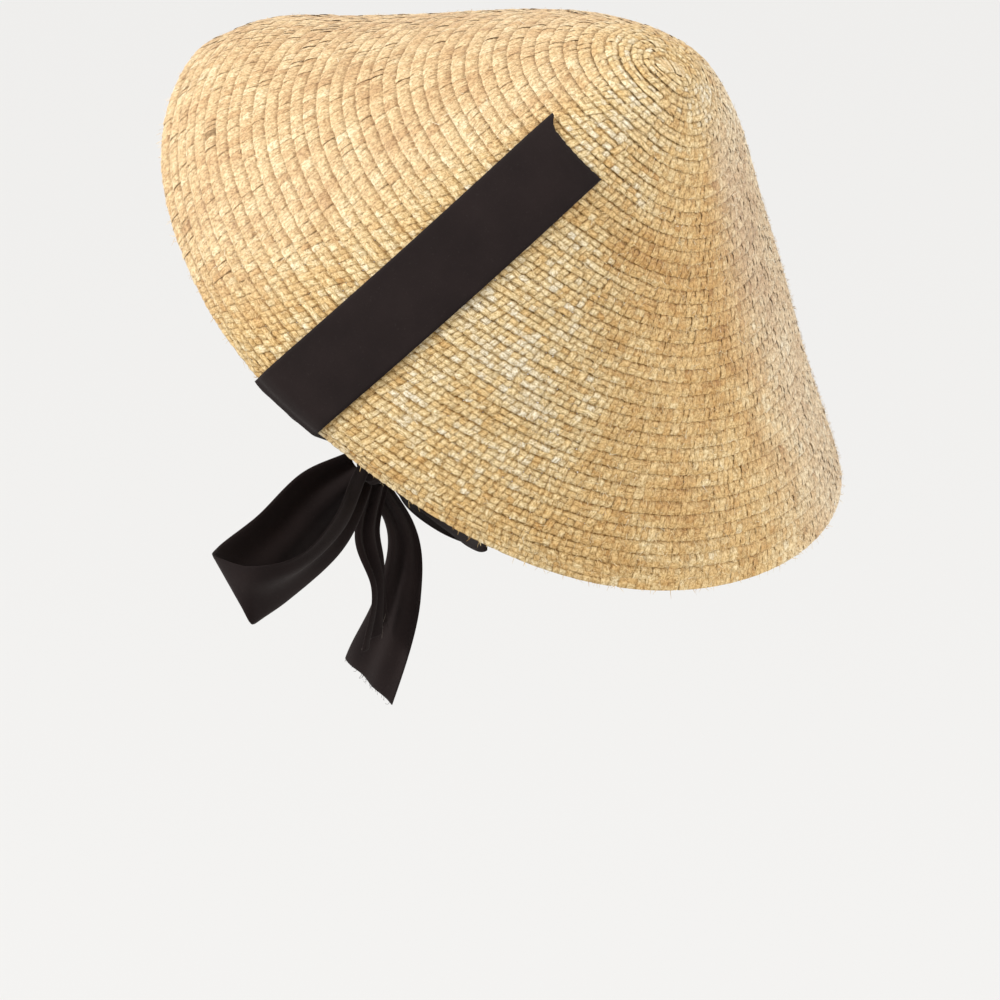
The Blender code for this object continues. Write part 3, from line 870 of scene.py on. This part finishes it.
def ribbon_middle(side, start, swing, sewn_rows=150, wrap_rows=14, strap_rows=90, columns=25):
    """The middle of one ribbon, and how much of its width is spread open in each row."""
    places = np.linspace(-1, 1, columns) * RIBBON_WIDTH / 2
    lateral = side * math.pi / 2
    lift = CLEAR + RIBBON_THICK / 2
    along = np.linspace(start, 1, sewn_rows)
    step = 1e-3
    spread = np.linalg.norm(shell_point(along, lateral + step) - shell_point(along, lateral), axis=-1) / step
    back = side * swing * RIBBON_WIDTH * (1 - along) / (1 - start)
    around = lateral + (places[None, :] + back[:, None]) / spread[:, None]
    along = np.broadcast_to(along[:, None], around.shape)
    sewn = shell_point(along, around) + lift * shell_normal(along, around)
    rim, normal = shell_point(1.0, around[-1]), shell_normal(1.0, around[-1])
    tangent = unit(rim - shell_point(0.99, around[-1]))
    core = rim - STRAW_WALL / 2 * normal
    mid = len(core) // 2
    run = unit(knot_centre() - core[mid])
    bend = math.atan2(-(run @ normal[mid]), run @ tangent[mid])
    angles = np.linspace(0, bend, wrap_rows + 1)[1:, None, None]
    wrap = core + (STRAW_WALL / 2 + lift) * (np.cos(angles) * normal + np.sin(angles) * tangent)
    from_knot = unit(wrap[-1, mid] - knot_centre())
    end = knot_centre() + clear_of_knot(from_knot) * from_knot
    fore_and_aft = unit(np.cross(np.cross(from_knot, np.array([0.0, side, 0.0])), from_knot))
    gathered = end + STRAP_GATHER * places[:, None] * fore_and_aft
    share = np.linspace(0, 1, strap_rows + 1)[1:, None, None]
    strap = (1 - share) * wrap[-1] + share * gathered
    open_share = np.concatenate([np.ones(sewn_rows + wrap_rows), 1 - share.ravel() * (1 - STRAP_GATHER)])
    return np.concatenate([sewn, wrap, strap]), open_share, sewn_rows


def build_ribbon(name, look):
    side, start, swing = (RIBBONS[name][column] for column in ("side", "start", "swing"))
    rng = np.random.default_rng(5 + side)
    middle, open_share, sewn_rows = ribbon_middle(side, start, swing)
    rows, columns = middle.shape[:2]
    down = unit(np.gradient(middle, axis=0))
    normals = grid_normals(middle) * side
    length = travelled(middle[:, columns // 2])
    ridge = np.abs(np.mod(length / ROW_PITCH, 1) - 0.5) * 2
    fade = np.clip((sewn_rows - 4 - np.arange(rows)) / 6, 0, 1)
    fade = fade * np.clip(np.arange(rows) / 3, 0, 1)
    wander = np.cumsum(rng.normal(0, 1, (rows, columns)), axis=0)
    wander = (wander - wander.mean(axis=0)) / np.abs(wander).max()
    column = np.arange(columns)
    pulled = END_PEAK * np.exp(-((column / 2.5) ** 2)) + 0.0005 * np.abs(np.sin(1.9 * column))
    middle = middle - (np.exp(-np.arange(rows) / 1.6)[:, None] * pulled[None, :])[..., None] * down
    relief = 0.00016 * (ridge[:, None] - 0.5) * fade[:, None] + 0.00010 * wander
    middle = middle + relief[..., None] * normals
    middle = pleats(middle, open_share, 2.0, 0.75)
    made, total = cloth_strip(name, middle, look)
    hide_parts(name)
    return made


def build_loop(name, look):
    aim = LOOP_AIMS[name]
    run = unit(np.array(aim["run"]))
    lower = unit(np.array(aim["lower"]))
    inward = unit(np.cross(run, lower))
    inward *= np.sign(inward[1])
    rows = spline(LOOP, np.linspace(0, 1, 150))
    row = dict(zip(LOOP_COLUMNS, rows.T[:, :, None]))
    tilt = np.radians(row["tilt"])
    first = clear_of_knot(run)
    centre = (
        knot_centre()
        + (first + row["out"] * (LOOP_LENGTH - first)) * run
        + row["across"] * RIBBON_WIDTH * lower
        + row["bulge"] * RIBBON_WIDTH * inward
    )
    edge = row["width"] * RIBBON_WIDTH / 2 * (np.cos(tilt) * lower - np.sin(tilt) * inward)
    places = np.linspace(-1, 1, 25)[None, :, None]
    middle = centre[:, None] + places * edge[:, None]
    middle = pleats(middle, row["width"].ravel(), 1.5, 0.55)
    sag = smooth(rows[:, 0], 0.45, 0.53) * smooth(-rows[:, 0], -0.84, -0.60)
    upper = (1 - places) / 2
    fall = LOOP_SAG * upper**2 * lower + 0.5 * LOOP_SAG * np.sin(math.pi * upper) * inward
    middle = middle + RIBBON_WIDTH * sag[:, None, None] * fall
    made, total = cloth_strip(name, middle, look)
    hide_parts(name)
    return made


def build_tail(name, table, length, side, look):
    rows = spline(table, np.linspace(0, 1, 110))
    row = dict(zip(TAIL_COLUMNS, rows.T))
    first = np.radians(TAIL_TURN)
    apart = side * TAIL_GAP / 2 * np.array([math.cos(first), -math.sin(first), 0.0])
    down = clear_of_knot(np.array([0.0, 0.0, 1.0]))
    start = knot_centre() + apart - np.array([0.0, 0.0, down])
    hang = length - down
    centre = start + hang * np.stack([row["left"], row["back"], -row["down"]], axis=1)
    turn = np.radians(TAIL_TURN + row["turn"])
    level = np.stack([np.sin(turn), np.cos(turn), np.zeros_like(turn)], axis=1)
    upright = np.array([0.0, 0.0, 1.0])
    edge = RIBBON_WIDTH / 2 * (row["width"][:, None] * level - row["slant"][:, None] * upright)
    places = np.linspace(-1, 1, 33)[None, :, None]
    middle = centre[:, None] + places * edge[:, None]
    middle = pleats(middle, row["width"], 2.0, 0.55)
    threads = frayed(middle, 26, 5 if side > 0 else 1, 3 + side)
    made, total = cloth_strip(name, middle, look, threads)
    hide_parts(name)
    return made


def build_knot(look):
    """The wrapped ribbon of the knot: a band round the left-to-right axis with creases that run round it."""
    rows, columns = 49, 72
    wide, deep, tall = knot_half()
    x = np.linspace(-1, 1, rows)[:, None]
    angle = (np.arange(columns) * 2 * math.pi / columns)[None, :]
    fullness = np.sqrt(np.clip(1 - np.abs(x) ** 3.2, 0, 1))
    creases = 1 - 0.07 * np.cos(3.2 * math.pi * x + 0.8 * np.sin(angle)) ** 2 * fullness
    radius = fullness * creases * (1 + 0.03 * np.sin(3 * angle + 1.0))
    points = np.stack(
        [
            wide * 0.98 * x + np.zeros_like(angle),
            deep * radius * np.cos(angle),
            tall * radius * np.sin(angle),
        ],
        axis=-1,
    )
    points = knot_centre() + points
    i, j = np.meshgrid(np.arange(rows - 1), np.arange(columns), indexing="ij")
    after = (j + 1) % columns
    here, below = i * columns, (i + 1) * columns
    quads = np.stack([here + j, below + j, below + after, here + after], axis=-1)
    uv = np.stack(np.broadcast_arrays(x * 10, angle * 10), axis=-1).reshape(-1, 2)
    made = add_mesh("bow_knot_wrap", points.reshape(-1, 3), quads.reshape(-1, 4), look, uv=uv)
    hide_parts("bow_knot")
    return made


def build_stage():
    floor_look = Tree("pale_floor")
    floor_look.shader.inputs["Base Color"].default_value = (0.12, 0.12, 0.118, 1)
    floor_look.shader.inputs["Emission Color"].default_value = (1.0, 0.99, 0.975, 1)
    floor_look.shader.inputs["Emission Strength"].default_value = 0.71
    floor_look.shader.inputs["Roughness"].default_value = 0.9
    corners = FLOOR_HALF * np.array([[-1, -1, 0], [1, -1, 0], [1, 1, 0], [-1, 1, 0]], float)
    grid = corners - np.array([0, 0, FLOOR_DROP])
    floor = add_mesh("pale_floor", grid, np.array([[0, 1, 2, 3]]), floor_look.material)
    world = bpy.data.worlds.new("pale_room")
    bpy.context.scene.world = world
    world.use_nodes = True
    back = world.node_tree.nodes["Background"]
    back.inputs["Color"].default_value = (0.90, 0.895, 0.885, 1)
    back.inputs["Strength"].default_value = 0.95


def add_light(name, place, target, size, power, colour):
    data = bpy.data.lights.new(name, "AREA")
    data.shape = "DISK"
    data.size = size
    data.energy = power
    data.color = colour
    made = bpy.data.objects.new(name, data)
    bpy.context.scene.collection.objects.link(made)
    made.location = place
    made.rotation_euler = (Vector(target) - Vector(place)).to_track_quat("-Z", "Y").to_euler()


def add_camera():
    azimuth, pitch = math.radians(CAMERA_AZIMUTH), math.radians(CAMERA_PITCH)
    back = Vector((math.sin(azimuth) * math.cos(pitch), -math.cos(azimuth) * math.cos(pitch), math.sin(pitch)))
    right = Vector((0, 0, 1)).cross(back).normalized()
    up = back.cross(right)
    data = bpy.data.cameras.new("camera")
    data.lens = CAMERA_LENS
    data.sensor_width = 36.0
    data.clip_start, data.clip_end = 0.05, 40.0
    made = bpy.data.objects.new("camera", data)
    bpy.context.scene.collection.objects.link(made)
    turn = Matrix((right, up, back)).transposed().to_4x4()
    made.matrix_world = Matrix.Translation(Vector(CAMERA_AT)) @ turn
    bpy.context.scene.camera = made


straw = straw_look()
ribbon = ribbon_look()
shell = EvenShell()
braid = build_braid(shell, straw) + [build_fibres(shell, straw)]
for piece in braid:
    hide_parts("straw_shell")
cloth = [
    build_knot(ribbon),
    build_ribbon("ribbon_left", ribbon),
    build_ribbon("ribbon_right", ribbon),
    build_loop("bow_loop_left", ribbon),
    build_loop("bow_loop_right", ribbon),
    build_tail("bow_tail_left", TAIL_LEFT, TAIL_LEFT_LENGTH, 1, ribbon),
    build_tail("bow_tail_right", TAIL_RIGHT, TAIL_RIGHT_LENGTH, -1, ribbon),
]
for piece in braid + cloth:
    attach(piece, "root")

build_stage()
for name, light in LIGHTS.items():
    add_light(name, *light)
bpy.context.scene.view_settings.view_transform = "Standard"
add_camera()
